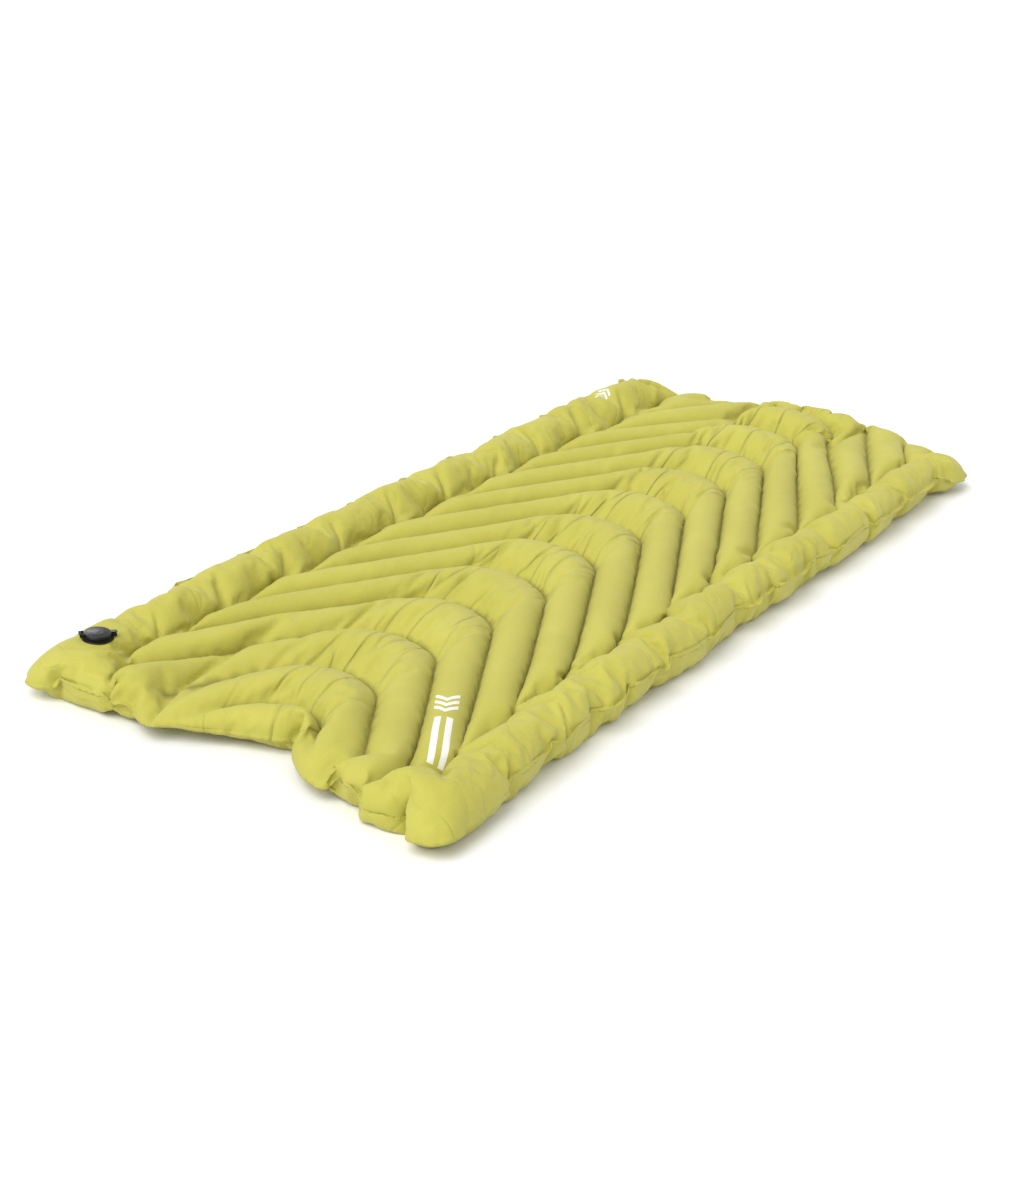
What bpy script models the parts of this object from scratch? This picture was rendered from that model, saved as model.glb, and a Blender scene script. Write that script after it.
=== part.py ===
"""Inflatable camping mattress: two welded sheets and a two-stage flip valve.

Frame: X runs along the length (valve end at -X), Y across it (valve side at
+Y), Z up. The origin is under the middle of the pad, on the resting plane.
All lengths are metres.
"""
import math

import bmesh
import bpy
import numpy as np
from mathutils import Matrix, Vector
from mathutils.geometry import delaunay_2d_cdt

MM = 0.001

# ---- overall size of the inflated pad ------------------------------------
LENGTH = 1.480
WIDTH = 0.600
CORNER_RADIUS = 0.045
FOOT_MIDDLE_PULL_IN = 0.030     # the foot edge is drawn in at its middle
HEAD_CORNER_SET_BACK = 0.045    # the head edge bulges past its two corners

# ---- weld pattern --------------------------------------------------------
SEAM_PITCH = 0.1215             # along the length, from one V seam to the next
SEAM_HALF_SPAN = 0.2176         # the V seams end on the two rail lines
LIMB_ANGLE = math.radians(27.0)  # of a V limb, from the length direction
BEND_RADIUS = 0.075             # of the rounded point of every V
FIRST_SEAM_X = -0.590           # rail end of the first full seam
SEAM_NUMBERS = range(-3, 11)
END_CHANNEL = 0.050             # seams stop this far from the foot edge
HEAD_CHANNEL = 0.016            # and this far from the head edge
DASH_LENGTH = 0.042             # short welds along the rail line
FLANGE_WIDTH = 0.008            # flat welded rim all round

# ---- section of the air chambers -----------------------------------------
LIMB_PITCH = SEAM_PITCH * math.sin(LIMB_ANGLE)
LIMB_DIAMETER = LIMB_PITCH
RAIL_DIAMETER = 0.0640
REST_DEPTH = 0.0258             # the underside is pressed flat at this depth
SHEET = 0.4 * MM
GAP = 0.3 * MM
WELD_Z = REST_DEPTH + SHEET + GAP / 2
ROW_PHASES = (0.0, 0.17, 0.38, 0.62, 0.83)
BODY_COLUMNS = (0.0, 0.028, 0.056, 0.080, 0.148, SEAM_HALF_SPAN)
RAIL_COLUMNS = (0.234, 0.250)
EDGE_RINGS = (0.0, FLANGE_WIDTH, 0.015, 0.029)  # distances of the edge loops
EDGE_STEP = 0.043

# ---- valve, in its own frame: axis at r = 0, z = 0 on the sheet ----------
VALVE_X = -0.658
VALVE_Y = 0.254
VALVE_TURN = math.radians(-35.0)  # direction of the hinge side
VALVE_SEAT_HEIGHT = 0.0325        # of the flat seat above the weld plane
SEAT_RADIUS = 21.0 * MM
SEAT_SKIRT = 12.0 * MM
HOLE_RADIUS = 14.4 * MM
FLANGE_RADIUS = 19.6 * MM
FLANGE_THICKNESS = 1.2 * MM
SOCKET_OUTER = 14.0 * MM
SOCKET_BORE = 12.5 * MM
SOCKET_DEPTH = 9.0 * MM
RIM_OUTER = 16.0 * MM
RIM_TOP = 4.0 * MM
PLUG_OUTER = 10.3 * MM
PLUG_BORE = 9.5 * MM
PLUG_DEPTH = 5.5 * MM
PLUG_FLOOR = 1.0 * MM
SEAL_LIP = 11.9 * MM
SEAL_LIP_Z = 0.3 * MM
PLATE_RADIUS = 17.0 * MM
PLATE_THICKNESS = 1.2 * MM
WINDOW_RADIUS = 2.3 * MM
WINDOW_CIRCLE = 5.2 * MM
WINDOWS = 5
STEM_RADIUS = 1.1 * MM
FLAP_RADIUS = 8.6 * MM
FLAP_THICKNESS = 0.6 * MM
FLAP_TRAVEL = 1.4 * MM
CAP_RADIUS = 16.4 * MM
CAP_THICKNESS = 1.6 * MM
CAP_DOME = 1.2 * MM
SKIRT_OUTER = 7.2 * MM
SKIRT_DEPTH = 3.4 * MM
SKIRT_LIP = 8.6 * MM
PLUG_SEAL_RADIUS = 0.8 * MM
CAP_SEAL_RADIUS = 0.85 * MM
PATCH_RADIUS = 20.6 * MM
PATCH_THICKNESS = 0.5 * MM
COLLAR_INNER = RIM_OUTER + GAP
COLLAR_OUTER = 18.2 * MM
COLLAR_HEIGHT = 1.6 * MM
HINGE_RADIUS = 21.0 * MM          # both hinge bars lie this far from the bore's axis
LID_HINGE_Z = 4.2 * MM            # on the inner side of the valve
CAP_HINGE_Z = 7.6 * MM            # on the outer side, carried by the inner lid
HINGE_BAR = 0.8 * MM
KNUCKLE_BORE = 1.1 * MM
KNUCKLE_RADIUS = 1.8 * MM
KNUCKLE_HALF = 3.0 * MM
LUG_THICKNESS = 1.6 * MM
LUG_REACH = 1.4 * MM
TAB_REACH = 23.4 * MM
TAB_WIDTH = 5.8 * MM

PLATE_Z = RIM_TOP + GAP
PLATE_TOP = PLATE_Z + PLATE_THICKNESS
CAP_Z = PLATE_TOP + GAP
FLOOR_Z = -PLUG_DEPTH

for item in list(bpy.data.objects):
    bpy.data.objects.remove(item, do_unlink=True)


def collection(name):
    """A new collection linked to the scene."""
    made = bpy.data.collections.new(name)
    bpy.context.scene.collection.children.link(made)
    return made


PARTS = collection("mattress_parts")
CUTTERS = collection("mattress_cutters")


def material(name, colour, roughness):
    """A plain Principled material."""
    made = bpy.data.materials.new(name)
    made.use_nodes = True
    shader = made.node_tree.nodes["Principled BSDF"]
    shader.inputs["Base Color"].default_value = (*colour, 1.0)
    shader.inputs["Roughness"].default_value = roughness
    return made


# ---- the plan of the pad -------------------------------------------------
def seam_shift(y):
    """How far a seam has run towards the head at distance y from the middle."""
    side = min(abs(y), SEAM_HALF_SPAN)
    tangent = BEND_RADIUS * math.cos(LIMB_ANGLE)
    straight = (SEAM_HALF_SPAN - tangent) / math.tan(LIMB_ANGLE)
    if side >= tangent:
        return (SEAM_HALF_SPAN - side) / math.tan(LIMB_ANGLE)
    sagitta = math.sqrt(BEND_RADIUS ** 2 - side ** 2)
    return straight + sagitta - BEND_RADIUS * math.sin(LIMB_ANGLE)


def foot_edge(y):
    """X of the foot edge."""
    return -LENGTH / 2 + FOOT_MIDDLE_PULL_IN * math.exp(-(y / 0.09) ** 2)


def head_edge(y):
    """X of the head edge."""
    return LENGTH / 2 - HEAD_CORNER_SET_BACK * (2 * y / WIDTH) ** 2


def outline(inset, step):
    """Points round the pad, counter-clockwise, at a distance from its edge."""
    half = WIDTH / 2 - inset
    radius = CORNER_RADIUS - inset
    lateral = half - radius
    count = max(4, round(2 * lateral / step))
    across = np.linspace(-lateral, lateral, count + 1)
    arc = np.radians([30.0, 60.0])
    head = [(head_edge(y) - inset, y) for y in across]
    foot = [(foot_edge(y) + inset, y) for y in reversed(across)]
    head_x = head[-1][0] - radius
    foot_x = foot[0][0] + radius
    along = np.linspace(head_x, foot_x, max(4, round((head_x - foot_x) / step)) + 1)
    left_head = [(head_x + radius * math.cos(a), lateral + radius * math.sin(a)) for a in arc]
    left_foot = [(foot_x - radius * math.sin(a), lateral + radius * math.cos(a)) for a in arc]
    left = left_head + [(x, half) for x in along] + left_foot
    right = [(x, -y) for x, y in reversed(left)]
    return np.array(head + left + foot + right)


def inside(points, ring, margin):
    """Which points lie inside the ring, at least a margin from it."""
    start = ring
    end = np.roll(ring, -1, axis=0)
    odd = np.zeros(len(points), bool)
    for (x0, y0), (x1, y1) in zip(start, end):
        if y0 == y1:
            continue
        level = (points[:, 1] >= min(y0, y1)) & (points[:, 1] < max(y0, y1))
        cross = x0 + (points[:, 1] - y0) * (x1 - x0) / (y1 - y0)
        odd ^= level & (points[:, 0] < cross)
    return odd & (distance(points, start, end) > margin)


def distance(points, start, end):
    """Distance from every point to the nearest of some straight pieces."""
    nearest = np.full(len(points), np.inf)
    for first, last in zip(start, end):
        run = last - first
        share = np.clip((points - first) @ run / max(run @ run, 1e-12), 0, 1)
        off = points - first - share[:, None] * run
        nearest = np.minimum(nearest, np.hypot(off[:, 0], off[:, 1]))
    return nearest


def row(number, columns):
    """A line of the weld pattern at the given columns, both sides."""
    base = FIRST_SEAM_X + number * SEAM_PITCH
    sides = [-c for c in reversed(columns) if c > 0] + list(columns)
    return np.array([(base + seam_shift(y), y) for y in sides])


def in_seam_range(x, y):
    """Whether a seam is welded at this place."""
    return foot_edge(y) + END_CHANNEL <= x <= head_edge(y) - HEAD_CHANNEL


def weld_pieces():
    """Start and end points of every weld inside the rim."""
    start = []
    end = []
    fine = tuple(np.linspace(0.0, SEAM_HALF_SPAN, 25))
    for number in SEAM_NUMBERS:
        line = row(number, fine)
        for first, last in zip(line, line[1:]):
            if in_seam_range(*first) and in_seam_range(*last):
                start.append(first)
                end.append(last)
        rail_x = FIRST_SEAM_X + number * SEAM_PITCH
        if number < 0 or number > 10:
            continue
        for side in (-SEAM_HALF_SPAN, SEAM_HALF_SPAN):
            start.append(np.array((rail_x, side)))
            end.append(np.array((rail_x - DASH_LENGTH, side)))
    return np.array(start), np.array(end)


VALVE_CENTRE = np.array((VALVE_X, VALVE_Y))
LOOPS = [outline(inset, EDGE_STEP) for inset in EDGE_RINGS]
RIM = LOOPS[0]
WELD_RIM = LOOPS[1]
WELD_START, WELD_END = weld_pieces()


def ring_round_valve(radius, count):
    """Points on a circle about the valve."""
    angles = np.arange(count) * 2 * math.pi / count
    return VALVE_CENTRE + radius * np.stack([np.cos(angles), np.sin(angles)], 1)


def plan(with_hole):
    """Vertices and triangles of one sheet, flat."""
    points = []
    edges = []
    for loop in LOOPS:
        offset = len(points)
        near_valve = np.hypot(*(loop - VALVE_CENTRE).T) < SEAT_RADIUS + SEAT_SKIRT + 0.004
        if with_hole and loop is LOOPS[-1]:
            loop = loop[~near_valve]
        points += list(loop)
        edges += [(offset + i, offset + (i + 1) % len(loop)) for i in range(len(loop))]
    clear = 0.0
    if with_hole:
        clear = SEAT_RADIUS + SEAT_SKIRT
        rings = ((HOLE_RADIUS, 24), (SEAT_RADIUS, 24), (SEAT_RADIUS + SEAT_SKIRT / 2, 20))
        for radius, count in rings:
            offset = len(points)
            points += list(ring_round_valve(radius, count))
            edges += [(offset + i, offset + (i + 1) % count) for i in range(count)]
    columns = BODY_COLUMNS + RAIL_COLUMNS
    for number in range(SEAM_NUMBERS[0] - 2, SEAM_NUMBERS[-1] + 3):
        for phase in ROW_PHASES:
            line = row(number + phase, columns)
            keep = inside(line, LOOPS[-1], 0.008)
            keep &= np.hypot(*(line - VALVE_CENTRE).T) > clear
            for i, point in enumerate(line):
                if not keep[i]:
                    continue
                if i and keep[i - 1]:
                    edges.append((len(points) - 1, len(points)))
                points.append(point)
    face = [list(range(len(RIM)))]
    result = delaunay_2d_cdt([Vector(p) for p in points], edges, face, 1, 1e-6)
    vertices = np.array([tuple(v) for v in result[0]])
    triangles = [tuple(f) for f in result[2]]
    if with_hole:
        centres = np.array([vertices[list(f)].mean(0) for f in triangles])
        outside = np.hypot(*(centres - VALVE_CENTRE).T) > HOLE_RADIUS * 0.99
        triangles = [f for f, out in zip(triangles, outside) if out]
    return vertices, triangles


def smooth(value, low, high):
    """A smooth step from 0 at low to 1 at high."""
    share = np.clip((value - low) / (high - low), 0.0, 1.0)
    return share * share * (3 - 2 * share)


def puff(points):
    """Height of the sheet above the weld plane."""
    start = np.concatenate([WELD_START, WELD_RIM])
    end = np.concatenate([WELD_END, np.roll(WELD_RIM, -1, axis=0)])
    away = distance(points, start, end)
    rail = smooth(np.abs(points[:, 1]), SEAM_HALF_SPAN - 0.020, SEAM_HALF_SPAN + 0.012)
    across = LIMB_DIAMETER + (RAIL_DIAMETER - LIMB_DIAMETER) * rail
    reach = np.minimum(away, across / 2)
    height = np.sqrt(reach * (across - reach))
    height[~inside(points, WELD_RIM, 0.0005)] = 0.0
    return height


def sheet(name, paint, upper):
    """One air-tight sheet: the puffed surface given its thickness."""
    vertices, triangles = plan(upper)
    height = puff(vertices)
    if upper:
        away = np.hypot(*(vertices - VALVE_CENTRE).T)
        seat = 1.0 - smooth(away, SEAT_RADIUS + 0.0002, SEAT_RADIUS + SEAT_SKIRT)
        height += (VALVE_SEAT_HEIGHT - height) * seat
        level = WELD_Z + GAP / 2 + height
        offset = SHEET
    else:
        height = np.minimum(height, REST_DEPTH)
        level = WELD_Z - GAP / 2 - height
        offset = -SHEET
    flat = bmesh.new()
    made = [flat.verts.new((x, y, z)) for (x, y), z in zip(vertices, level)]
    for triangle in triangles:
        flat.faces.new([made[i] for i in triangle])
    used = {v for f in flat.faces for v in f.verts}
    bmesh.ops.delete(flat, geom=[v for v in flat.verts if v not in used], context="VERTS")
    grown = bmesh.ops.extrude_face_region(flat, geom=flat.faces[:], use_keep_orig=True)
    moved = [g for g in grown["geom"] if isinstance(g, bmesh.types.BMVert)]
    bmesh.ops.translate(flat, verts=moved, vec=(0.0, 0.0, offset))
    bmesh.ops.recalc_face_normals(flat, faces=flat.faces[:])
    return finish(name, flat, paint)


# ---- solids --------------------------------------------------------------
def finish(name, shape, paint, home=PARTS):
    """Turn a bmesh into a named object."""
    mesh = bpy.data.meshes.new(name)
    shape.to_mesh(mesh)
    shape.free()
    made = bpy.data.objects.new(name, mesh)
    home.objects.link(made)
    if paint:
        mesh.materials.append(paint)
    if home is CUTTERS:
        made.hide_render = True
        made.display_type = "WIRE"
    return made


def turned(name, profile, paint, segments, home=PARTS, closed=True):
    """A solid of revolution from (radius, z) points, outer side downwards."""
    mesh = bpy.data.meshes.new(name)
    count = len(profile)
    last = count if closed else count - 1
    edges = [(i, (i + 1) % count) for i in range(last)]
    mesh.from_pydata([(r, 0.0, z) for r, z in profile], edges, [])
    made = bpy.data.objects.new(name, mesh)
    home.objects.link(made)
    if paint:
        mesh.materials.append(paint)
    screw = made.modifiers.new("turn", "SCREW")
    screw.steps = segments
    screw.render_steps = segments
    screw.use_merge_vertices = True
    screw.merge_threshold = 0.00005
    screw.use_smooth_shade = False
    if home is CUTTERS:
        made.hide_render = True
        made.display_type = "WIRE"
    return made


def ring(name, centre, z, minor, paint, segments=32, sides=8):
    """A round seal ring."""
    angles = [-2 * math.pi * (i + 0.5) / sides for i in range(sides)]
    profile = [(centre + minor * math.cos(a), z + minor * math.sin(a)) for a in angles]
    return turned(name, profile, paint, segments)


def cylinder(name, radius, length, centre, axis, segments=20):
    """A cutter or joining cylinder about one of the axes."""
    shape = bmesh.new()
    turn = {"X": Matrix.Rotation(math.pi / 2, 4, "Y"), "Y": Matrix.Rotation(math.pi / 2, 4, "X"),
            "Z": Matrix.Identity(4)}[axis]
    bmesh.ops.create_cone(shape, cap_ends=True, segments=segments, radius1=radius,
                          radius2=radius, depth=length, matrix=Matrix.Translation(centre) @ turn)
    return finish(name, shape, None, CUTTERS)


def block(name, low, high):
    """A cutter or joining box between two corners."""
    shape = bmesh.new()
    centre = [(a + b) / 2 for a, b in zip(low, high)]
    size = Matrix.Diagonal([b - a for a, b in zip(low, high)] + [1.0])
    bmesh.ops.create_cube(shape, size=1.0, matrix=Matrix.Translation(centre) @ size)
    return finish(name, shape, None, CUTTERS)


def combine(target, other, operation):
    """Join or cut with an exact Boolean."""
    step = target.modifiers.new(other.name, "BOOLEAN")
    step.operation = operation
    step.solver = "EXACT"
    step.object = other


def axis_empty(name, parent, place):
    """An empty that marks where a moving piece turns or slides."""
    made = bpy.data.objects.new(name, None)
    PARTS.objects.link(made)
    made.parent = parent
    made.location = place
    return made


VALVE_FRAME = axis_empty("valve_frame", None,
                         (VALVE_X, VALVE_Y, WELD_Z + GAP / 2 + VALVE_SEAT_HEIGHT + SHEET))
VALVE_FRAME.rotation_euler = (0.0, 0.0, VALVE_TURN)
LID_PLACE = Vector((HINGE_RADIUS, 0.0, LID_HINGE_Z))
CAP_PLACE = Vector((-HINGE_RADIUS, 0.0, CAP_HINGE_Z))
LID_AXIS = axis_empty("deflate_lid_axis", VALVE_FRAME, LID_PLACE)
CAP_AXIS = axis_empty("inflate_cap_axis", LID_AXIS, CAP_PLACE - LID_PLACE)
FLAP_SLIDE = axis_empty("check_flap_slide", LID_AXIS, -LID_PLACE)


def seat(made, carrier=VALVE_FRAME):
    """Hang a valve piece, drawn about the bore, from the empty that carries it."""
    made.parent = carrier
    if carrier == LID_AXIS:
        made.location = -LID_PLACE
    if carrier == CAP_AXIS:
        made.location = -CAP_PLACE


def crosswise(label, side, start, end, half, low, high, middle=0.0):
    """A joining box on one side of the valve, from one radius to another."""
    near, far = sorted((side * start, side * end))
    return block(label, (near, middle - half, low), (far, middle + half, high))


def knuckle(target, label, side, z, root, arm_low, arm_high):
    """Give a lid an arm that ends in a bored knuckle round a hinge bar."""
    centre = (side * HINGE_RADIUS, 0.0, z)
    heel = HINGE_RADIUS - KNUCKLE_RADIUS + 0.4 * MM
    combine(target, crosswise(label + "_arm", side, root, heel, KNUCKLE_HALF,
                              arm_low, arm_high), "UNION")
    combine(target, cylinder(label + "_barrel", KNUCKLE_RADIUS, 2 * KNUCKLE_HALF, centre, "Y"),
            "UNION")
    combine(target, cylinder(label + "_bore", KNUCKLE_BORE, 2 * KNUCKLE_HALF + 2 * MM, centre,
                             "Y"), "DIFFERENCE")


def hinge_bar(target, label, side, z, root, low):
    """Give a piece two upright lugs and the bar between them."""
    start = KNUCKLE_HALF + GAP
    combine(target, cylinder(label + "_bar", HINGE_BAR, 2 * start + LUG_THICKNESS,
                             (side * HINGE_RADIUS, 0.0, z), "Y", 12), "UNION")
    for name, sign in (("_left", 1.0), ("_right", -1.0)):
        middle = sign * (start + LUG_THICKNESS / 2)
        combine(target, crosswise(label + name, side, root, HINGE_RADIUS + LUG_REACH,
                                  LUG_THICKNESS / 2, low, z + LUG_REACH, middle), "UNION")


# ---- materials -----------------------------------------------------------
FABRIC = material("coated_fabric", (0.62, 0.66, 0.10), 0.75)
VALVE_BLACK = material("valve_black", (0.012, 0.012, 0.013), 0.45)
SEAL_GREY = material("seal_grey", (0.10, 0.10, 0.11), 0.60)
SILICONE = material("clear_silicone", (0.60, 0.62, 0.62), 0.35)
PATCH_FILM = material("patch_film", (0.50, 0.53, 0.10), 0.60)

# ---- the two sheets ------------------------------------------------------
sheet("top_sheet", FABRIC, True)
sheet("bottom_sheet", FABRIC, False)

# ---- valve base and what is bonded to it ---------------------------------
patch_top = -SHEET - GAP
seat(turned("valve_patch",
            [(PATCH_RADIUS, patch_top), (PATCH_RADIUS, patch_top - PATCH_THICKNESS),
             (HOLE_RADIUS, patch_top - PATCH_THICKNESS), (HOLE_RADIUS, patch_top)],
            PATCH_FILM, 32))

flange_top = GAP + FLANGE_THICKNESS
base = turned("valve_base",
              [(SOCKET_BORE, RIM_TOP), (RIM_OUTER - 0.5 * MM, RIM_TOP),
               (RIM_OUTER, RIM_TOP - 0.5 * MM), (RIM_OUTER, flange_top),
               (FLANGE_RADIUS - 0.6 * MM, flange_top), (FLANGE_RADIUS, flange_top - 0.6 * MM),
               (FLANGE_RADIUS, GAP), (SOCKET_OUTER, GAP),
               (SOCKET_OUTER, -SOCKET_DEPTH), (SOCKET_BORE, -SOCKET_DEPTH)],
              VALVE_BLACK, 40)
seat(base)

collar_z = flange_top + GAP
collar = turned("hinge_collar",
                [(COLLAR_OUTER, collar_z + COLLAR_HEIGHT), (COLLAR_OUTER, collar_z),
                 (COLLAR_INNER, collar_z), (COLLAR_INNER, collar_z + COLLAR_HEIGHT)],
                VALVE_BLACK, 40)
hinge_bar(collar, "collar_hinge", 1.0, LID_HINGE_Z, COLLAR_OUTER - 1.4 * MM, collar_z)
seat(collar)

# ---- the inner lid: opens for deflating ----------------------------------
plug = turned("deflate_lid",
              [(PLUG_BORE, PLATE_TOP), (PLATE_RADIUS - 0.4 * MM, PLATE_TOP),
               (PLATE_RADIUS, PLATE_TOP - 0.4 * MM), (PLATE_RADIUS, PLATE_Z),
               (PLUG_OUTER, PLATE_Z), (PLUG_OUTER, SEAL_LIP_Z), (SEAL_LIP, SEAL_LIP_Z),
               (PLUG_OUTER, SEAL_LIP_Z - 1.2 * MM), (PLUG_OUTER, FLOOR_Z),
               (STEM_RADIUS + GAP, FLOOR_Z), (STEM_RADIUS + GAP, FLOOR_Z + PLUG_FLOOR),
               (PLUG_BORE, FLOOR_Z + PLUG_FLOOR)],
              VALVE_BLACK, 40)
knuckle(plug, "lid_hinge", 1.0, LID_HINGE_Z, PLATE_RADIUS - 1.5 * MM,
        PLATE_Z + 0.1 * MM, PLATE_TOP - 0.1 * MM)
hinge_bar(plug, "cap_hinge", -1.0, CAP_HINGE_Z, PLATE_RADIUS - 0.9 * MM, PLATE_Z + 0.1 * MM)
for number in range(WINDOWS):
    angle = 2 * math.pi * number / WINDOWS
    window = cylinder(f"window_{number + 1}", WINDOW_RADIUS, 3 * PLUG_FLOOR,
                      (WINDOW_CIRCLE * math.cos(angle), WINDOW_CIRCLE * math.sin(angle),
                       FLOOR_Z + PLUG_FLOOR / 2), "Z", 14)
    combine(plug, window, "DIFFERENCE")

seat(plug, LID_AXIS)
seat(ring("deflate_seal", PLUG_OUTER + GAP + PLUG_SEAL_RADIUS,
          SEAL_LIP_Z + GAP + PLUG_SEAL_RADIUS, PLUG_SEAL_RADIUS, SEAL_GREY), LID_AXIS)

flap_top = FLOOR_Z - GAP
bulb_z = FLOOR_Z + PLUG_FLOOR + FLAP_TRAVEL + GAP
seat(turned("check_flap",
            [(0.0, bulb_z + 0.9 * MM), (1.3 * MM, bulb_z + 0.7 * MM), (1.8 * MM, bulb_z),
             (STEM_RADIUS, bulb_z), (STEM_RADIUS, flap_top), (FLAP_RADIUS, flap_top),
             (FLAP_RADIUS, flap_top - FLAP_THICKNESS), (0.0, flap_top - FLAP_THICKNESS)],
            SILICONE, 28, closed=False), FLAP_SLIDE)

# ---- the outer cap: opens for blowing up ---------------------------------
cap_top = CAP_Z + CAP_THICKNESS
skirt_end = CAP_Z - SKIRT_DEPTH
cap = turned("inflate_cap",
             [(0.0, cap_top + CAP_DOME), (0.45 * CAP_RADIUS, cap_top + 0.82 * CAP_DOME),
              (0.80 * CAP_RADIUS, cap_top + 0.30 * CAP_DOME), (CAP_RADIUS - 0.5 * MM, cap_top),
              (CAP_RADIUS, cap_top - 0.5 * MM), (CAP_RADIUS, CAP_Z),
              (SKIRT_OUTER, CAP_Z), (SKIRT_OUTER, skirt_end + 1.0 * MM),
              (SKIRT_LIP, skirt_end + 0.7 * MM), (SKIRT_LIP, skirt_end), (0.0, skirt_end)],
             VALVE_BLACK, 40, closed=False)
knuckle(cap, "cap_arm", -1.0, CAP_HINGE_Z, CAP_RADIUS - 1.5 * MM,
        CAP_Z + 0.5 * MM, cap_top)
tab = crosswise("finger_tab", 1.0, CAP_RADIUS - 1.5 * MM, TAB_REACH, TAB_WIDTH / 2,
                CAP_Z + 0.5 * MM, cap_top - 0.1 * MM)
combine(cap, tab, "UNION")

seal_z = skirt_end + 1.0 * MM + GAP + CAP_SEAL_RADIUS
seat(ring("inflate_seal", SKIRT_OUTER + GAP + CAP_SEAL_RADIUS, seal_z, CAP_SEAL_RADIUS,
          SEAL_GREY), CAP_AXIS)
seat(cap, CAP_AXIS)
for cutter in CUTTERS.objects:
    cutter.parent = VALVE_FRAME
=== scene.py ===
"""Looks of the inflatable sleeping pad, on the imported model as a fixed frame."""
import math

import bpy
import numpy as np
from mathutils import Matrix, Vector
from mathutils.geometry import delaunay_2d_cdt
from mathutils.kdtree import KDTree


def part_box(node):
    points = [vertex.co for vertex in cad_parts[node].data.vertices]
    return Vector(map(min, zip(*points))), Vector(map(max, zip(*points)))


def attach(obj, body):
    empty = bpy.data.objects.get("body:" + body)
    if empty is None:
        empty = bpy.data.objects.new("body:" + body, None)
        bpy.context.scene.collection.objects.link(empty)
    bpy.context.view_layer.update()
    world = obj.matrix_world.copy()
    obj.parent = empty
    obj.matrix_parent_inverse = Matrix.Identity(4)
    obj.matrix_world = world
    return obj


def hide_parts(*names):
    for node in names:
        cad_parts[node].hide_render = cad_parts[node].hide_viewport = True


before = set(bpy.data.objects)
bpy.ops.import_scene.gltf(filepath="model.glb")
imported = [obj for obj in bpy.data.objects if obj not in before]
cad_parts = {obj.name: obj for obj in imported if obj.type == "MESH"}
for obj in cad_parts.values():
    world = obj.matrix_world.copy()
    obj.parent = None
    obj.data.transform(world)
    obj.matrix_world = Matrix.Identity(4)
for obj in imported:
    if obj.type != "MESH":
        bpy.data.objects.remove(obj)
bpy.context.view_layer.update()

# ---- where things are, from the CAD --------------------------------------
TOP_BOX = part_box("top_sheet")
BASE_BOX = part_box("valve_base")
MID_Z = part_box("bottom_sheet")[1][2]
SEAT_Z = TOP_BOX[1][2]
VALVE = Vector(((BASE_BOX[0][0] + BASE_BOX[1][0]) / 2, (BASE_BOX[0][1] + BASE_BOX[1][1]) / 2,
                SEAT_Z))

# ---- the weld pattern as blown up ----------------------------------------
SEAM_PITCH = 0.1215
HALF_SPAN = 0.2176
LIMB_ANGLE = math.radians(27.0)
BEND_RADIUS = 0.075
FIRST_SEAM_X = -0.590
NEAR_RAIL = 0.064
FAR_RAIL = 0.082
FOLD_IN = 0.009                 # the rails fold at every seam, where their rim is drawn in
FOLD_UP = 0.016
TIP_IN = 0.006
TIP_UP = 0.026
FOOT_X = -0.755
HEAD_X = 0.730
FOOT_FAR_X = -0.726             # where the led points of the foot edge go
FOOT_NEAR_X = -0.704
FOOT_STEP_Y = 0.035
FOOT_CORNER_BACK = 0.030
HEAD_MIDDLE_X = 0.742           # and those of the head edge
HEAD_BOW = 0.030
HEAD_SLANT = 0.45

# ---- how flat fabric shrinks as its tubes fill ---------------------------
TUBE_DRAW = 0.65                # width of a full tube over its flat width
FLAT_ANGLE = math.radians(38.1)
ACROSS = math.sin(FLAT_ANGLE)
ALONG = math.cos(FLAT_ANGLE)
DRAW_X = math.hypot(1 - (1 - TUBE_DRAW) * ACROSS ** 2, (1 - TUBE_DRAW) * ACROSS * ALONG)
DRAW_Y = TUBE_DRAW / DRAW_X
FLAT_PITCH = SEAM_PITCH / DRAW_X
FLAT_SPAN = HALF_SPAN / DRAW_Y
FLAT_BEND = 0.95 * BEND_RADIUS / DRAW_Y
FLANGE = 0.009
NEAR_RAIL_FLAT = 0.090
FAR_RAIL_FLAT = 0.109
FLAT_NEAR = -(FLAT_SPAN + NEAR_RAIL_FLAT + FLANGE)
FLAT_FAR = FLAT_SPAN + FAR_RAIL_FLAT + FLANGE
FLAT_FOOT = (FOOT_X - FIRST_SEAM_X) / DRAW_X
FLAT_HEAD = (HEAD_X - FIRST_SEAM_X) / DRAW_X
FLAT_CORNER = 0.060
FOOT_FLARE = 0.024
FOOT_CHANNEL = 0.060
HEAD_CHANNEL = 0.030
CORNER_CHANNEL = 0.055
SEAMS = range(-4, 13)           # numbers of the V seams, some of them clipped by the end channels
RAIL_DASHES = range(0, 11)
RAIL_FOLDS = range(1, 11)
SHORTEST_SEAM = 12              # samples; a clipped seam with fewer than this is left out
FOOT_GUIDES = (0.140, 0.235, 0.330)
HEAD_GUIDES = (0.045, 0.140, 0.235, 0.330, 0.385)
DASH = 0.050

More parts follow.
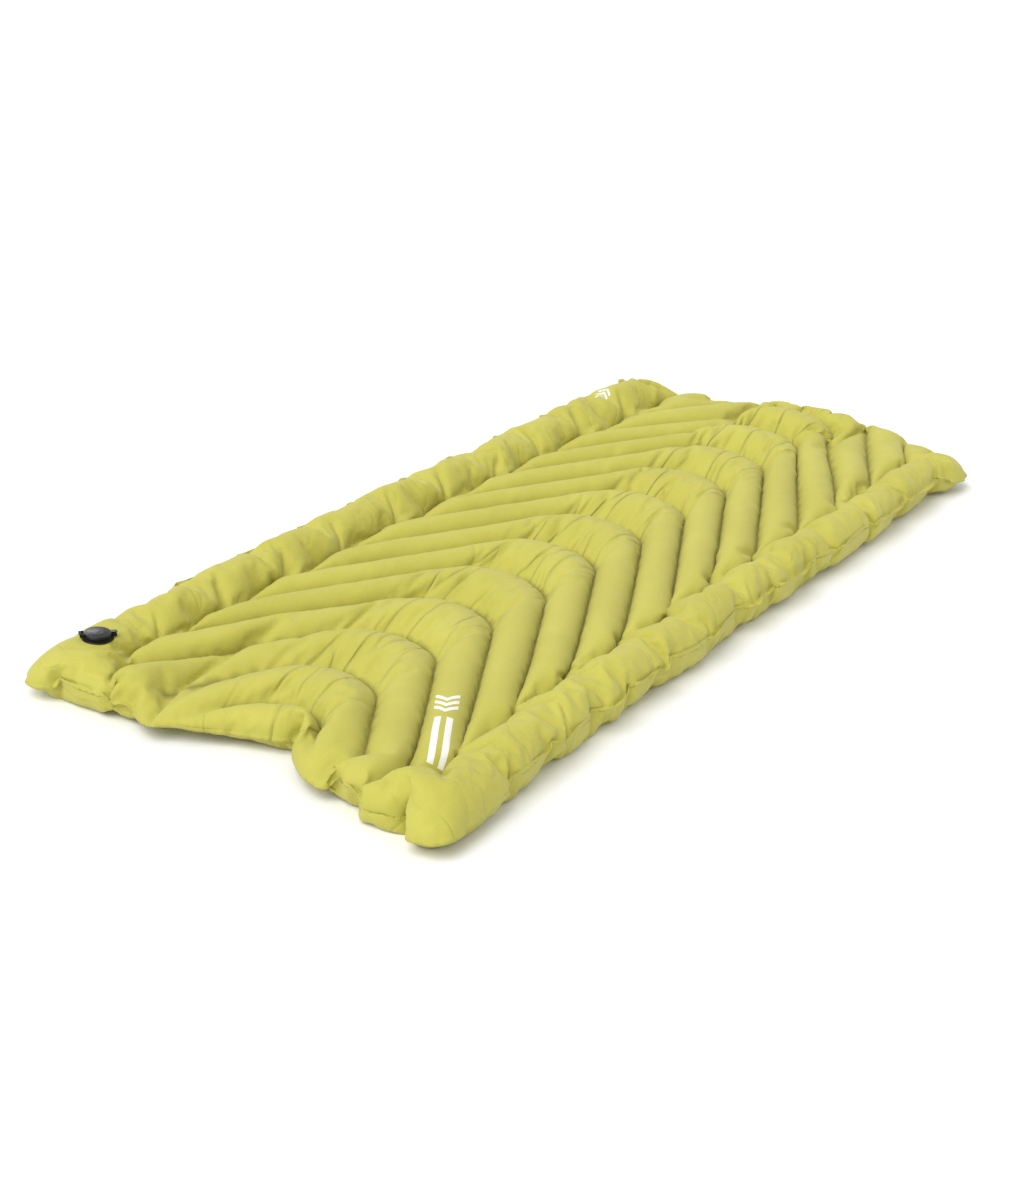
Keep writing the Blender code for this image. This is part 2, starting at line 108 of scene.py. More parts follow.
# ---- triangles, fabric and simulation ------------------------------------
BEND_CELL = 0.0085              # triangle size in the bends, the limbs and the rails
LIMB_CELL = 0.0125
RAIL_CELL = 0.0095
BEND_REACH = 0.095              # the bends' fine triangles end this far from the middle
RAIL_REACH = 0.030              # and the rails' fine ones start this far inside the rail line
ROW_STEP = 0.866                # height of an equal-sided triangle over its side
JITTER = 0.05
CLEARANCE = 0.62                # loose points stay this many triangle sides off the welds
OUTLINE_STEP = 0.004
TUBE_WIDTH = 0.055
RAIL_WIDTH = 0.060
END_ZONE = 0.035                # depth of the two end edges, in the flat
PIN_HEAD_X = 0.5                # towards the head, every clipped seam end is led too
START_GAP = 0.004               # half the gap between the sheets as they lie flat
FABRIC_THICKNESS = 0.0004
LOWEST = 0.0006
FRAMES = 32
SETTLE = 12                     # the frame at which the led points reach their places
PRESSURE = 60
NEIGHBOURS = 12                 # weld points that level each vertex
NEIGHBOUR_BLUR = 0.01
SEAT_FADE = 0.04


def cell(y):
    """Size of the fabric's triangles at each distance from the middle."""
    side = np.abs(y)
    outer = np.where(side < FLAT_SPAN - RAIL_REACH, LIMB_CELL, RAIL_CELL)
    return np.where(side < BEND_REACH, BEND_CELL, outer)


def chevron(y, span, angle, bend):
    """How far a V seam has run towards the head, at each distance from the middle."""
    side = np.minimum(np.abs(y), span)
    tangent = bend * math.cos(angle)
    straight = (span - tangent) / math.tan(angle)
    arc = straight + np.sqrt(np.maximum(bend ** 2 - side ** 2, 0)) - bend * math.sin(angle)
    return np.where(side >= tangent, (span - side) / math.tan(angle), arc)


def along(points, closed=False):
    """Points along a line, as far apart as the triangles there are wide."""
    line = np.array(points)
    if closed:
        line = np.vstack([line, line[:1]])
    middle = (line[1:] + line[:-1]) / 2
    run = np.r_[0, np.cumsum(np.hypot(*np.diff(line, axis=0).T) / cell(middle[:, 1]))]
    count = max(2, round(run[-1]) + 1)
    marks = np.linspace(0, run[-1], count)
    made = np.stack([np.interp(marks, run, line[:, 0]), np.interp(marks, run, line[:, 1])], 1)
    return made[:-1] if closed else made


def outline(inset):
    """The cut edge of the flat fabric, or a line inside it."""
    low = FLAT_FOOT + FLAT_CORNER
    high = FLAT_HEAD - FLAT_CORNER
    near = FLAT_NEAR + FLAT_CORNER
    far = FLAT_FAR - FLAT_CORNER
    radius = FLAT_CORNER - inset
    points = []
    flared = near - FOOT_FLARE
    for x, y, turn in ((high, near, -90), (high, far, 0), (low, far, 90), (low, flared, 180)):
        for angle in np.radians(turn + np.linspace(0, 90, 10)):
            points.append((x + radius * math.cos(angle), y + radius * math.sin(angle)))
    points = np.array(points)
    dense = []
    for first, second in zip(points, np.roll(points, -1, axis=0)):
        count = max(1, int(np.hypot(*(second - first)) / OUTLINE_STEP))
        for share in np.arange(count) / count:
            dense.append(first + (second - first) * share)
    return along(dense, closed=True)


def flat_seams():
    """Every V seam, clipped to the room between the two end channels."""
    lines = []
    for number in SEAMS:
        across = np.linspace(-FLAT_SPAN, FLAT_SPAN, 401)
        x = number * FLAT_PITCH + chevron(across, FLAT_SPAN, FLAT_ANGLE, FLAT_BEND)
        wider = CORNER_CHANNEL * (across / FLAT_SPAN) ** 4
        inside = (x >= FLAT_FOOT + FOOT_CHANNEL + wider) & (x <= FLAT_HEAD - HEAD_CHANNEL)
        run = []
        for i, ok in enumerate([*inside, False]):
            if ok:
                run.append((x[i], across[i]))
                continue
            if len(run) > SHORTEST_SEAM:
                lines.append(along(run))
            run = []
    return lines


def flat_dashes():
    """The short welds along both rail lines."""
    lines = []
    for number in RAIL_DASHES:
        x = number * FLAT_PITCH
        for side in (-FLAT_SPAN, FLAT_SPAN):
            lines.append(along([(x, side), (x - DASH, side)]))
    return lines


def blown(points):
    """Where flat fabric comes to lie once the tubes are full, in the row frame."""
    x, y = points[:, 0], points[:, 1]
    side = np.abs(y)
    rail = np.where(y > 0, FAR_RAIL / FAR_RAIL_FLAT, NEAR_RAIL / NEAR_RAIL_FLAT)
    out = np.where(side < FLAT_SPAN, DRAW_Y * side, HALF_SPAN + (side - FLAT_SPAN) * rail)
    shift = chevron(out, HALF_SPAN, LIMB_ANGLE, BEND_RADIUS)
    flat_shift = chevron(side, FLAT_SPAN, FLAT_ANGLE, FLAT_BEND)
    return np.stack([FIRST_SEAM_X + DRAW_X * (x - flat_shift) + shift, out * np.sign(y)], 1)


def ground_tree(points):
    """A search tree of points by their place in plan."""
    tree = KDTree(len(points))
    for i, (x, y) in enumerate(points[:, :2]):
        tree.insert((x, y, 0), i)
    tree.balance()
    return tree


def nearest(points, targets):
    """Distance from each point to the nearest target."""
    tree = ground_tree(targets)
    return np.array([tree.find((x, y, 0))[2] for x, y in points])


# the flat place of the valve: the blown-up place, turned back
VALVE_FLAT = np.array(((VALVE.x - FIRST_SEAM_X) / DRAW_X,
                       FLAT_SPAN + (VALVE.y - HALF_SPAN) * FAR_RAIL_FLAT / FAR_RAIL))
HOLE = 0.0142                   # radius of the sheet's hole, and of the seat round it
SEAT = 0.0205
ON_HOLE = HOLE * 1.01           # vertices this near count as on the ring
ON_SEAT = SEAT * 1.02
RING_POINTS = 20


def loose_points(fixed):
    """Jittered rows of points over the flat fabric, clear of the welds."""
    rng = np.random.default_rng(3)
    rows = []
    y = FLAT_NEAR - FOOT_FLARE
    while y < FLAT_FAR:
        step = float(cell(y))
        x = np.arange(FLAT_FOOT + (step / 2 if len(rows) % 2 else 0), FLAT_HEAD, step)
        rows.append(np.stack([x, np.full_like(x, y)], 1))
        y += ROW_STEP * step
    lattice = np.vstack(rows)
    size = cell(lattice[:, 1])
    lattice += rng.normal(0, JITTER, lattice.shape) * size[:, None]
    return lattice[nearest(lattice, fixed) > CLEARANCE * size]


def weld_network():
    """The lines that the triangles follow, in this order: rim, weld, valve, seams, dashes."""
    rim = outline(0.0)
    weld = outline(FLANGE)
    seams = flat_seams()
    rings = []
    for radius in (HOLE, SEAT):
        angles = np.arange(RING_POINTS) * math.tau / RING_POINTS
        rings.append(VALVE_FLAT + radius * np.stack([np.cos(angles), np.sin(angles)], 1))
    edges = []
    points = []
    for ring in (rim, weld, *rings):
        start = len(points)
        points += list(ring)
        edges += [(start + i, start + (i + 1) % len(ring)) for i in range(len(ring))]
    ring_end = len(points)
    ends = []
    for line in (*seams, *flat_dashes()):
        start = len(points)
        points += list(line)
        ends += [start, start + 1, len(points) - 2, len(points) - 1]
        edges += [(start + i, start + i + 1) for i in range(len(line) - 1)]
    seam_end = ring_end + sum(len(line) for line in seams)
    return {"points": np.array(points), "edges": edges, "rim_end": len(rim),
            "weld_end": len(rim) + len(weld), "ring_end": ring_end, "seam_end": seam_end,
            "ends": [i for i in ends if i < seam_end]}


def sorted_faces(triangles, plan, under):
    """The triangles of the upper sheet, the lower sheet and the flange round both."""
    upper = []
    lower = []
    flange = []
    on_rim = plan["on_rim"]
    on_edge = on_rim | plan["on_weld"]
    for face in triangles:
        if all(on_edge[i] for i in face) and any(on_rim[i] for i in face):
            flange.append(face)
            continue
        lower.append(tuple(under[i] for i in reversed(face)))
        if any(plan["away"][i] > ON_HOLE for i in face):
            upper.append(face)
    return upper, lower, flange


def flat_mesh():
    """The two flat sheets as one triangle mesh that shares its welded vertices."""
    net = weld_network()
    fixed = net["points"]
    rim_end = net["rim_end"]
    ring_end = net["ring_end"]
    places = np.vstack([fixed, loose_points(fixed)])
    result = delaunay_2d_cdt([Vector(p) for p in places], net["edges"], [list(range(rim_end))],
                             1, 1e-7)
    used = sorted({i for f in result[2] for i in f})
    place = {old: new for new, old in enumerate(used)}
    points = np.array([tuple(result[0][i]) for i in used])
    origin = np.array([min(result[3][i]) if result[3][i] else -1 for i in used])
    triangles = [tuple(place[i] for i in f) for f in result[2]]
    on_rim = (origin >= 0) & (origin < rim_end)
    on_weld = (origin >= rim_end) & (origin < net["weld_end"])
    joined = on_rim | on_weld | ((origin >= ring_end) & (origin < len(fixed)))
    free = np.where(~joined)[0]
    under = np.arange(len(points))
    under[free] = len(points) + np.arange(len(free))
    made = {"points": points, "free": free, "joined": joined, "on_rim": on_rim,
            "on_weld": on_weld, "on_end": np.isin(origin, net["ends"]),
            "on_seam": (origin >= ring_end) & (origin < net["seam_end"]),
            "away": np.hypot(*(points - VALVE_FLAT).T), "welds": places[rim_end:len(fixed)]}
    made["upper"], made["lower"], made["flange"] = sorted_faces(triangles, made, under)
    return made


def puffed(plan):
    flat = plan["points"]
    spread = blown(flat)
    gap = nearest(spread, blown(plan["welds"]))
    width = np.where(np.abs(flat[:, 1]) < FLAT_SPAN, TUBE_WIDTH, RAIL_WIDTH)
    reach = np.minimum(gap, width / 2)
    height = np.where(plan["joined"], 0, np.sqrt(reach * (width - reach)))
    top = np.c_[spread, MID_Z + height]
    near_foot = flat[:, 0] < FLAT_FOOT + END_ZONE
    near_head = flat[:, 0] > FLAT_HEAD - END_ZONE
    top[near_foot, 0] = foot_line(spread[near_foot, 1])
    top[near_head, 0] = head_line(spread[near_head, 1])
    for group, inwards, raised in (("folds", FOLD_IN, FOLD_UP), ("tips", TIP_IN, TIP_UP)):
        chosen = plan[group]
        top[chosen, 1] -= inwards * np.sign(top[chosen, 1])
        top[chosen, 2] += np.where(top[chosen, 1] > 0, 1.0, 0.5) * raised
    seat = plan["away"] < ON_SEAT
    top[seat, 0] = VALVE.x + flat[seat, 0] - VALVE_FLAT[0]
    top[seat, 1] = VALVE.y + flat[seat, 1] - VALVE_FLAT[1]
    top[seat, 2] = SEAT_Z - FABRIC_THICKNESS
    free = plan["free"]
    return np.vstack([top, np.c_[spread[free], MID_Z - height[free]]])


def foot_line(y):
    """Where the foot edge lies once it is drawn in."""
    drawn = np.where(y > FOOT_STEP_Y, FOOT_FAR_X, FOOT_NEAR_X)
    return drawn + np.where(y > 0, 0, FOOT_CORNER_BACK) * (y / 0.29) ** 8


def head_line(y):
    """Where the head edge lies: pushed out in the middle, drawn back at the far corner."""
    return HEAD_MIDDLE_X - HEAD_BOW * (y / 0.28) ** 2 - np.where(y > 0, HEAD_SLANT * y, 0.0)


def start_flat(plan):
    """The two sheets lying flat, a little apart."""
    rng = np.random.default_rng(5)
    flat = plan["points"]
    lift = np.where(plan["joined"], 0, START_GAP * (1 + rng.normal(0, 0.2, len(flat))))
    free = plan["free"]
    x = flat[:, 0] + FIRST_SEAM_X
    top = np.c_[x, flat[:, 1], MID_Z + lift]
    return np.vstack([top, np.c_[x[free], flat[free, 1], MID_Z - lift[free]]])


def blow_up(plan, start, goal):
    """Cloth simulation of the flat bag under pressure. The seam ends are led to their places."""
    mesh = bpy.data.meshes.new("bag")
    mesh.from_pydata(start.tolist(), [], plan["upper"] + plan["lower"] + plan["flange"])
    bag = bpy.data.objects.new("bag", mesh)
    bpy.context.scene.collection.objects.link(bag)
    bag.shape_key_add(name="flat", from_mix=False)
    key = bag.shape_key_add(name="goal", from_mix=False)
    key.data.foreach_set("co", goal.astype(np.float32).ravel())
    for value, when in ((0.0, 1), (1.0, SETTLE)):
        key.value = value
        key.keyframe_insert("value", frame=when)
    flat = plan["points"]
    at_rail = np.abs(flat[:, 1]) > 0.97 * FLAT_SPAN
    ends = plan["on_end"] & (at_rail | (flat[:, 0] > PIN_HEAD_X))
    led = ends | (plan["away"] < ON_SEAT)
    led[plan["folds"] + plan["tips"]] = True
    led[plan["guides"]] = True
    pins = bag.vertex_groups.new(name="pins")
    pins.add([int(i) for i in np.where(led)[0]], 1.0, "REPLACE")
    air = bag.vertex_groups.new(name="air")
    air.add([i for i in range(len(start)) if i >= len(flat) or not plan["on_rim"][i]], 1.0,
            "REPLACE")
    cloth = bag.modifiers.new("Cloth", "CLOTH")
    fabric = cloth.settings
    fabric.quality = 8
    fabric.mass = 0.02
    fabric.air_damping = 0.5
    fabric.tension_stiffness = 200
    fabric.compression_stiffness = 1
    fabric.shear_stiffness = 10
    fabric.bending_stiffness = 0.03
    fabric.tension_damping = 0.5
    fabric.compression_damping = 0.5
    fabric.shear_damping = 0.5
    fabric.bending_damping = 0.02
    fabric.vertex_group_mass = "pins"
    fabric.use_pressure = True
    fabric.uniform_pressure_force = PRESSURE
    fabric.vertex_group_pressure = "air"
    fabric.effector_weights.gravity = 0
    cloth.collision_settings.use_collision = False
    cloth.collision_settings.use_self_collision = False
    cloth.point_cache.frame_start = 1
    cloth.point_cache.frame_end = FRAMES
    scene = bpy.context.scene
    scene.frame_start = 1
    scene.frame_end = FRAMES
    for number in range(1, FRAMES + 1):
        scene.frame_set(number)
        bag.evaluated_get(bpy.context.evaluated_depsgraph_get())
    result = bag.evaluated_get(bpy.context.evaluated_depsgraph_get()).to_mesh()
    places = np.zeros(len(start) * 3, np.float32)
    result.vertices.foreach_get("co", places)
    scene.frame_set(1)
    bag.shape_key_clear()
    bpy.data.objects.remove(bag)
    return places.reshape(-1, 3).astype(float)


def lifted(plan, shape):
    """How far the welds near each vertex stand above their level at rest on the ground."""
    flat = plan["points"]
    at_ends = (flat[:, 0] < FLAT_FOOT + END_ZONE) | (flat[:, 0] > FLAT_HEAD - END_ZONE)
    seams = shape[:len(flat)][plan["on_seam"] | plan["on_weld"] & at_ends]
    tree = ground_tree(seams)
    rise = np.zeros(len(shape))
    for i, (x, y) in enumerate(shape[:, :2]):
        total = 0.0
        for _, j, gap in tree.find_n((x, y, 0), NEIGHBOURS):
            weight = 1 / (gap + NEIGHBOUR_BLUR) ** 2
            rise[i] += weight * (seams[j][2] - MID_Z)
            total += weight
        rise[i] /= total
    # the valve's seat keeps its height, and the levelling fades in around it
    away = np.r_[plan["away"], plan["away"][plan["free"]]]
    return rise * np.clip((away - SEAT) / SEAT_FADE, 0, 1)


def closest(plan, line, places):
    """The vertex of one edge line nearest to each place in the flat."""
    choice = np.where(plan[line])[0]
    found = []
    for place in places:
        away = np.hypot(*(plan["points"][choice] - place).T)
        found.append(int(choice[away.argmin()]))
    return found


plan = flat_mesh()
at_folds = [(k * FLAT_PITCH, side) for k in RAIL_FOLDS for side in (FLAT_NEAR, FLAT_FAR)]
plan["folds"] = closest(plan, "on_weld", at_folds)
plan["tips"] = closest(plan, "on_rim", at_folds)
at_guides = [(end, side * away)
             for end, spots in ((FLAT_FOOT, FOOT_GUIDES), (FLAT_HEAD, HEAD_GUIDES))
             for away in spots for side in (-1, 1)]
plan["guides"] = closest(plan, "on_weld", at_guides)
goal = puffed(plan)
shape = blow_up(plan, start_flat(plan), goal)
shape[:, 2] -= lifted(plan, shape)
shape[:, 2] = np.maximum(shape[:, 2], LOWEST)


def fabric_piece(name, faces, drop, node):
    """One sheet as its own piece, with the flat pattern kept as its UV map."""
    used = sorted({i for f in faces for i in f})
    place = {old: new for new, old in enumerate(used)}
    points = shape[used].copy()
    points[:, 2] += drop
    mesh = bpy.data.meshes.new(name)
    mesh.from_pydata(points.tolist(), [], [tuple(place[i] for i in f) for f in faces])
    flat = np.vstack([plan["points"], plan["points"][plan["free"]]])[used]
    layer = mesh.uv_layers.new(name="cut")
    corners = np.zeros(len(mesh.loops), np.int32)
    mesh.loops.foreach_get("vertex_index", corners)
    layer.data.foreach_set("uv", flat[corners].astype(np.float32).ravel())
    mesh.polygons.foreach_set("use_smooth", np.ones(len(mesh.polygons), bool))
    for layer_name, marked in (("flange", plan["on_rim"] | plan["on_weld"]),
                               ("seam", plan["joined"] & ~plan["on_rim"] & ~plan["on_weld"])):
        value = np.zeros(len(plan["points"]) + len(plan["free"]), np.float32)
        value[:len(plan["points"])] = marked
        attribute = mesh.attributes.new(layer_name, "FLOAT", "POINT")
        attribute.data.foreach_set("value", value[used])
    made = bpy.data.objects.new(name, mesh)
    bpy.context.scene.collection.objects.link(made)
    smooth = made.modifiers.new("smooth", "SUBSURF")
    smooth.levels = 1
    smooth.render_levels = 1
    thick = made.modifiers.new("fabric", "SOLIDIFY")
    thick.thickness = FABRIC_THICKNESS
    thick.offset = -1.0
    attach(made, "pad")
    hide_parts(node)
    return made


top = fabric_piece("pad_top", plan["upper"] + plan["flange"], FABRIC_THICKNESS, "top_sheet")
bottom = fabric_piece("pad_bottom", plan["lower"] + [tuple(reversed(f)) for f in plan["flange"]],
                      -FABRIC_THICKNESS, "bottom_sheet")

# ---- materials -----------------------------------------------------------
THREAD = 0.0009
FABRIC_DARK = (0.455, 0.422, 0.064)
FABRIC_LIGHT = (0.530, 0.496, 0.090)
FLANGE_TINT = (0.455, 0.428, 0.064)
# painted shade: dark colour for the shaded valleys along the welded seams
SEAM_PAINTED_SHADE = (0.190, 0.172, 0.014)
# prints: two generic white marks on the flat pattern
MARK_PLACE = (-0.043, -0.280)
MARK_ANGLE = math.radians(40.2)
MARK_SIZE = 0.155
CORNER_MARK_PLACE = (1.335, 0.360)


class Nodes:
    """Short ways to add shader nodes to one material."""

    def __init__(self, name):
        self.material = bpy.data.materials.new(name)
        self.material.use_nodes = True
        self.tree = self.material.node_tree
        self.shader = self.tree.nodes["Principled BSDF"]

    def add(self, kind, links=(), **settings):
        """A node with settings, and links given as (input, value or socket)."""
        node = self.tree.nodes.new(kind)
        for key, value in settings.items():
            setattr(node, key, value)
        for slot, value in links:
            self.put(node.inputs[slot], value)
        return node

    def put(self, slot, value):
        """Link a socket or set a value."""
        if isinstance(value, bpy.types.NodeSocket):
            self.tree.links.new(value, slot)
        else:
            slot.default_value = value

    def math(self, operation, first, second=0.0, clamp=False):
        """One Math node's result."""
        return self.add("ShaderNodeMath", ((0, first), (1, second)), operation=operation,
                        use_clamp=clamp).outputs[0]


def printed_mark(n, cut, place, angle, size, striped):
    """Mask of a white print: nested chevrons, and two stripes below them where asked."""
    local = n.add("ShaderNodeMapping", (("Vector", cut), ("Location", (*place, 0)),
                                        ("Rotation", (0, 0, angle)),
                                        ("Scale", (size, size, size))), vector_type="TEXTURE")
    split = n.add("ShaderNodeSeparateXYZ", ((0, local.outputs[0]),))
    along_it = split.outputs[0]
    across = n.math("ABSOLUTE", split.outputs[1])
    swept = n.math("SUBTRACT", along_it, across)
    bars = n.math("LESS_THAN", n.math("FRACT", n.math("MULTIPLY", swept, 3 / 0.27)), 0.55)
    inside = n.math("MULTIPLY", n.math("GREATER_THAN", swept, 0.72),
                    n.math("LESS_THAN", swept, 0.96))
    inside = n.math("MULTIPLY", inside, n.math("LESS_THAN", across, 0.10))
    mask = n.math("MULTIPLY", bars, inside)
    if striped:
        off = n.math("ABSOLUTE", n.math("SUBTRACT", across, 0.048))
        stripe = n.math("MULTIPLY", n.math("LESS_THAN", off, 0.026),
                        n.math("LESS_THAN", n.math("ABSOLUTE", n.math("SUBTRACT", along_it, 0.33)),
                               0.32))
        mask = n.math("MAXIMUM", mask, stripe)
    return mask


def creases(n, cut, scale, seed):
    """Thin sharp folds: high in their lines, nothing between them."""
    spread = n.add("ShaderNodeMapping", (("Vector", cut), ("Scale", scale),
                                         ("Location", (seed, seed, 0))))
    noise = n.add("ShaderNodeTexNoise", (("Vector", spread.outputs[0]), ("Scale", 1.0),
                                         ("Detail", 2.0), ("Roughness", 0.45),
                                         ("Distortion", 0.35)))
    off = n.math("ABSOLUTE", n.math("SUBTRACT", noise.outputs[0], 0.5))
    ridge = n.math("SUBTRACT", 1.0, n.math("MULTIPLY", off, 16.0), clamp=True)
    return n.math("POWER", ridge, 2.0)


def fabric_material():
    """Coated woven fabric: fine weave, folds across the tubes, welded edge, white prints, and
    painted shade darkening the valleys along the seams.
    """
    n = Nodes("pad_fabric")
    cut = n.add("ShaderNodeUVMap", uv_map="cut").outputs[0]
    split = n.add("ShaderNodeSeparateXYZ", ((0, cut),))
    away = n.math("ABSOLUTE", split.outputs[1])
    welded = n.add("ShaderNodeAttribute", attribute_name="flange").outputs["Fac"]
    seam = n.add("ShaderNodeAttribute", attribute_name="seam").outputs["Fac"]
    thread = math.tau / THREAD
    warp = n.math("SINE", n.math("MULTIPLY", split.outputs[0], thread))
    weft = n.math("SINE", n.math("MULTIPLY", split.outputs[1], thread))
    weave = n.math("MULTIPLY", warp, weft)
    slub = n.add("ShaderNodeMapping", (("Vector", cut), ("Scale", (30.0, 900.0, 1.0))))
    slubs = n.add("ShaderNodeTexNoise", (("Vector", slub.outputs[0]), ("Scale", 1.0),
                                         ("Detail", 2.0)))
    blotch = n.add("ShaderNodeTexNoise", (("Vector", cut), ("Scale", 7.0), ("Detail", 5.0),
                                          ("Roughness", 0.6)))
    mixed = n.math("ADD", n.math("MULTIPLY", blotch.outputs[0], 0.7),
                   n.math("MULTIPLY", slubs.outputs[0], 0.3))
    ramp = n.add("ShaderNodeValToRGB", ((0, mixed),))
    ramp.color_ramp.elements[0].position = 0.32
    ramp.color_ramp.elements[0].color = (*FABRIC_DARK, 1)
    ramp.color_ramp.elements[1].position = 0.70
    ramp.color_ramp.elements[1].color = (*FABRIC_LIGHT, 1)
    edged = n.add("ShaderNodeMixRGB", ((0, n.math("MULTIPLY", welded, 0.4)), (1, ramp.outputs[0]),
                                       (2, (*FLANGE_TINT, 1))))
    # painted shade: the colour darkens towards the seam welds, where the valleys between the tubes
    # lie in shade
    seam_shade_amount = n.math("MULTIPLY", n.math("POWER", seam, 1.3), 0.88)
    seam_shaded = n.add("ShaderNodeMixRGB", ((0, seam_shade_amount), (1, edged.outputs[0]), (2, (*SEAM_PAINTED_SHADE, 1))))
    main = printed_mark(n, cut, MARK_PLACE, MARK_ANGLE, MARK_SIZE, True)
    corner = printed_mark(n, cut, CORNER_MARK_PLACE, math.pi, 0.11, False)
    marks = n.math("MAXIMUM", main, corner)
    worn = n.add("ShaderNodeTexNoise", (("Vector", cut), ("Scale", 900.0), ("Detail", 2.0)))
    inked = n.math("MULTIPLY", marks, n.add("ShaderNodeMapRange", (
        (0, worn.outputs[0]), (1, 0.30), (2, 0.40), (3, 0.55), (4, 1.0))).outputs[0])
    coloured = n.add("ShaderNodeMixRGB", ((0, inked), (1, seam_shaded.outputs[0]),
                                          (2, (0.84, 0.84, 0.81, 1))))
    n.put(n.shader.inputs["Base Color"], coloured.outputs[0])
    grain = n.add("ShaderNodeTexNoise", (("Vector", cut), ("Scale", 240.0), ("Detail", 3.0)))
    rough = n.add("ShaderNodeMapRange", ((0, grain.outputs[0]), (3, 0.58), (4, 0.76)))
    smoother = n.math("SUBTRACT", rough.outputs[0],
                      n.math("ADD", n.math("MULTIPLY", welded, 0.10),
                             n.math("MULTIPLY", inked, 0.12)))
    n.put(n.shader.inputs["Roughness"], smoother)
    at_bend = n.add("ShaderNodeMapRange", ((0, away), (1, 0.055), (2, 0.115), (3, 1.0),
                                           (4, 0.0)), interpolation_type="SMOOTHSTEP")
    at_rail = n.add("ShaderNodeMapRange", ((0, away), (1, FLAT_SPAN - 0.045),
                                           (2, FLAT_SPAN + 0.005), (3, 0.0), (4, 1.0)),
                    interpolation_type="SMOOTHSTEP")
    bend_folds = n.math("MULTIPLY", creases(n, cut, (4.0, 21.0, 1.0), 2.0), at_bend.outputs[0])
    rail_folds = n.math("MULTIPLY", creases(n, cut, (17.0, 9.0, 1.0), 5.0),
                        n.math("MULTIPLY", at_rail.outputs[0], 0.4))
    folds = n.add("ShaderNodeBump", (("Strength", 0.90), ("Distance", 0.0026),
                                     ("Height", n.math("ADD", bend_folds, rail_folds))),
                  invert=True)
    ripple = n.add("ShaderNodeTexNoise", (("Vector", cut), ("Scale", 46.0), ("Detail", 4.0),
                                          ("Distortion", 0.5)))
    soft = n.add("ShaderNodeBump", (("Strength", 0.16), ("Distance", 0.004),
                                    ("Height", ripple.outputs[0]),
                                    ("Normal", folds.outputs[0])))
    ink = n.add("ShaderNodeBump", (("Strength", 0.5), ("Distance", 0.0001), ("Height", inked),
                                   ("Normal", soft.outputs[0])))
    fine = n.add("ShaderNodeBump", (("Strength", 0.30), ("Distance", 0.0002), ("Height", weave),
                                    ("Normal", ink.outputs[0])))
    n.put(n.shader.inputs["Normal"], fine.outputs[0])
    n.shader.inputs["Sheen Weight"].default_value = 0.12
    n.shader.inputs["Sheen Roughness"].default_value = 0.5
    n.shader.inputs["Specular IOR Level"].default_value = 0.28
    return n.material


FABRIC = fabric_material()
for piece in (top, bottom):
    piece.data.materials.append(FABRIC)


def plastic(name, colour, low, high, scale=900.0):
    """Moulded plastic or rubber with a fine grain."""
    n = Nodes(name)
    spot = n.add("ShaderNodeTexCoord").outputs["Object"]
    grain = n.add("ShaderNodeTexNoise", (("Vector", spot), ("Scale", scale), ("Detail", 3.0)))
    rough = n.add("ShaderNodeMapRange", ((0, grain.outputs[0]), (3, low), (4, high)))
    n.put(n.shader.inputs["Roughness"], rough.outputs[0])
    tint = n.add("ShaderNodeMixRGB", ((0, grain.outputs[0]),
                                      (1, (*[c * 0.8 for c in colour], 1)),
                                      (2, (*[c * 1.2 for c in colour], 1))))
    n.put(n.shader.inputs["Base Color"], tint.outputs[0])
    bump = n.add("ShaderNodeBump", (("Strength", 0.15), ("Distance", 0.0002),
                                    ("Height", grain.outputs[0])))
    n.put(n.shader.inputs["Normal"], bump.outputs[0])
    n.shader.inputs["Specular IOR Level"].default_value = 0.32
    return n.material


LOOKS = {
    "valve_base": plastic("base_black", (0.006, 0.006, 0.007), 0.34, 0.50),
    "hinge_collar": plastic("collar_black", (0.006, 0.006, 0.007), 0.36, 0.50),
    "deflate_lid": plastic("lid_black", (0.006, 0.006, 0.007), 0.32, 0.46),
    "inflate_cap": plastic("cap_black", (0.008, 0.008, 0.009), 0.20, 0.30),
    "deflate_seal": plastic("seal_grey", (0.09, 0.09, 0.095), 0.5, 0.7),
    "inflate_seal": plastic("seal_dark", (0.09, 0.09, 0.095), 0.5, 0.7),
    "check_flap": plastic("flap_silicone", (0.55, 0.57, 0.57), 0.3, 0.45),
    "valve_patch": plastic("patch_film", (0.50, 0.48, 0.10), 0.5, 0.65),
}
for node, look in LOOKS.items():
    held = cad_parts[node]
    if not held.material_slots:
        held.data.materials.append(look)
    for slot in held.material_slots:
        slot.material = look

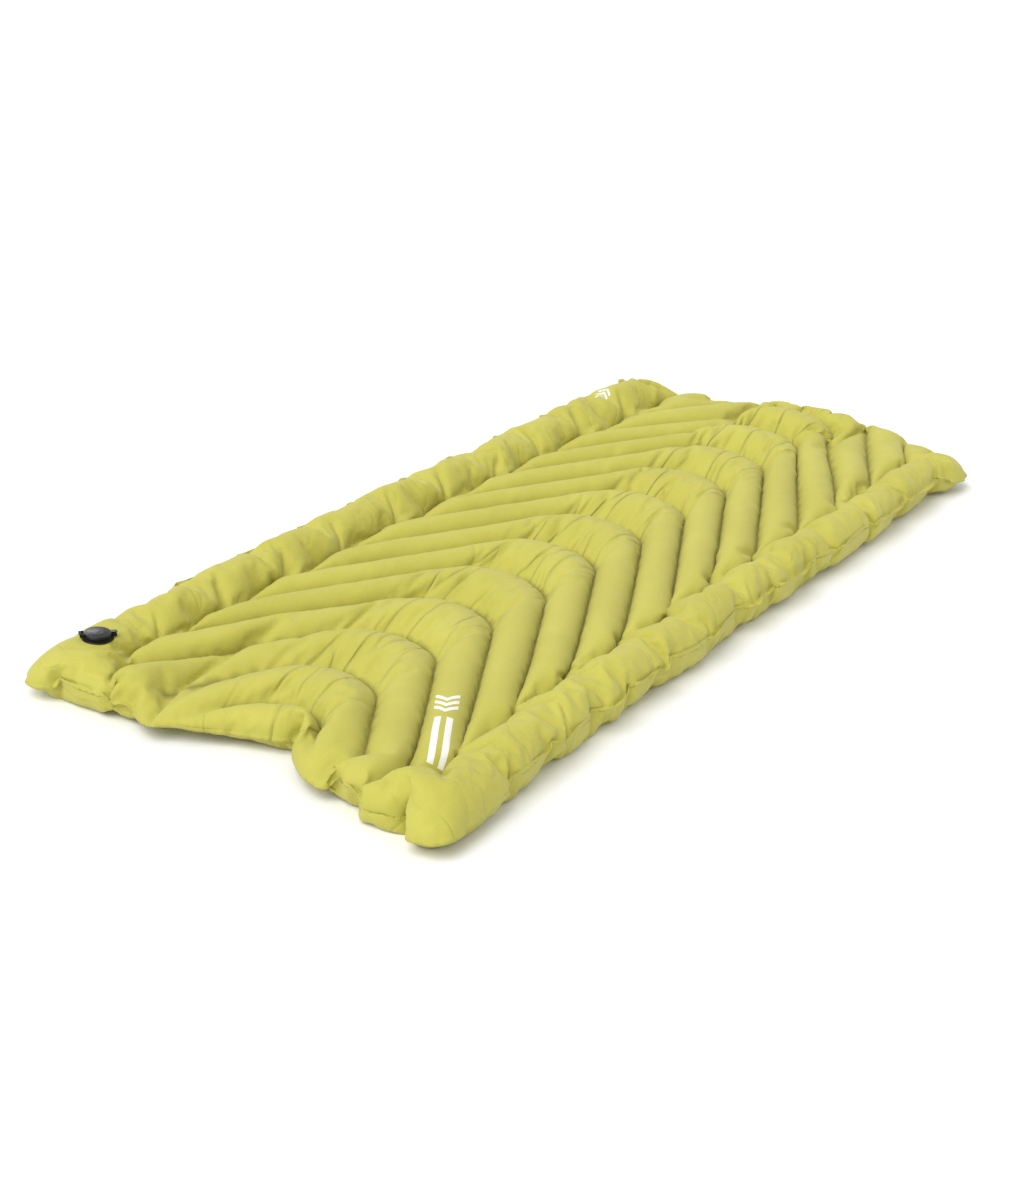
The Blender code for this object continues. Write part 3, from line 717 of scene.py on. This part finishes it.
# ---- floor, light and camera ---------------------------------------------
FLOOR_HALF = 30
SKY_STRENGTH = 0.78
SOFT_BOX_FROM = (-0.60, 0.10, 0.80)
SOFT_BOX_POWER = 2.1
SOFT_BOX_SPREAD = 50            # degrees
RIM_LIGHT_FROM = (0.62, 0.67, 0.41)
RIM_LIGHT_POWER = 0.10
RIM_LIGHT_SPREAD = 8
floor_mesh = bpy.data.meshes.new("floor")
floor_mesh.from_pydata([(x * FLOOR_HALF, y * FLOOR_HALF, 0)
                        for x, y in ((-1, -1), (1, -1), (1, 1), (-1, 1))], [], [(0, 1, 2, 3)])
floor = bpy.data.objects.new("floor", floor_mesh)
bpy.context.scene.collection.objects.link(floor)
pale = Nodes("floor_pale")
pale.shader.inputs["Base Color"].default_value = (0.90, 0.90, 0.90, 1)
pale.shader.inputs["Roughness"].default_value = 0.9
floor_mesh.materials.append(pale.material)

world = bpy.data.worlds.new("studio")
bpy.context.scene.world = world
world.use_nodes = True
world.node_tree.nodes["Background"].inputs[0].default_value = (1, 1, 1, 1)
world.node_tree.nodes["Background"].inputs[1].default_value = SKY_STRENGTH


def far_lamp(name, source, energy, spread):
    """A lamp so far away that it lights everything alike."""
    data = bpy.data.lights.new(name, "SUN")
    data.energy = energy
    data.angle = math.radians(spread)
    made = bpy.data.objects.new(name, data)
    made.rotation_euler = Vector(source).to_track_quat("Z", "Y").to_euler()
    bpy.context.scene.collection.objects.link(made)


far_lamp("soft_box", SOFT_BOX_FROM, SOFT_BOX_POWER, SOFT_BOX_SPREAD)
far_lamp("rim_light", RIM_LIGHT_FROM, RIM_LIGHT_POWER, RIM_LIGHT_SPREAD)

CAMERA_PLACE = Vector((-2.4752, -1.4522, 1.2816))
CAMERA_FORWARD = Vector((0.7694, 0.4814, -0.4198))
CAMERA_UP = Vector((0.3139, 0.2875, 0.9049))
CAMERA_LENS = 68.5
eye = bpy.data.cameras.new("camera")
eye.sensor_fit = "VERTICAL"
eye.sensor_height = 36.0
eye.lens = CAMERA_LENS
camera = bpy.data.objects.new("camera", eye)
back = -CAMERA_FORWARD.normalized()
right = CAMERA_UP.cross(back).normalized()
turn = Matrix((right, back.cross(right), back)).transposed().to_4x4()
camera.matrix_world = Matrix.Translation(CAMERA_PLACE) @ turn
bpy.context.scene.collection.objects.link(camera)
bpy.context.scene.camera = camera
bpy.context.scene.view_settings.view_transform = "Standard"
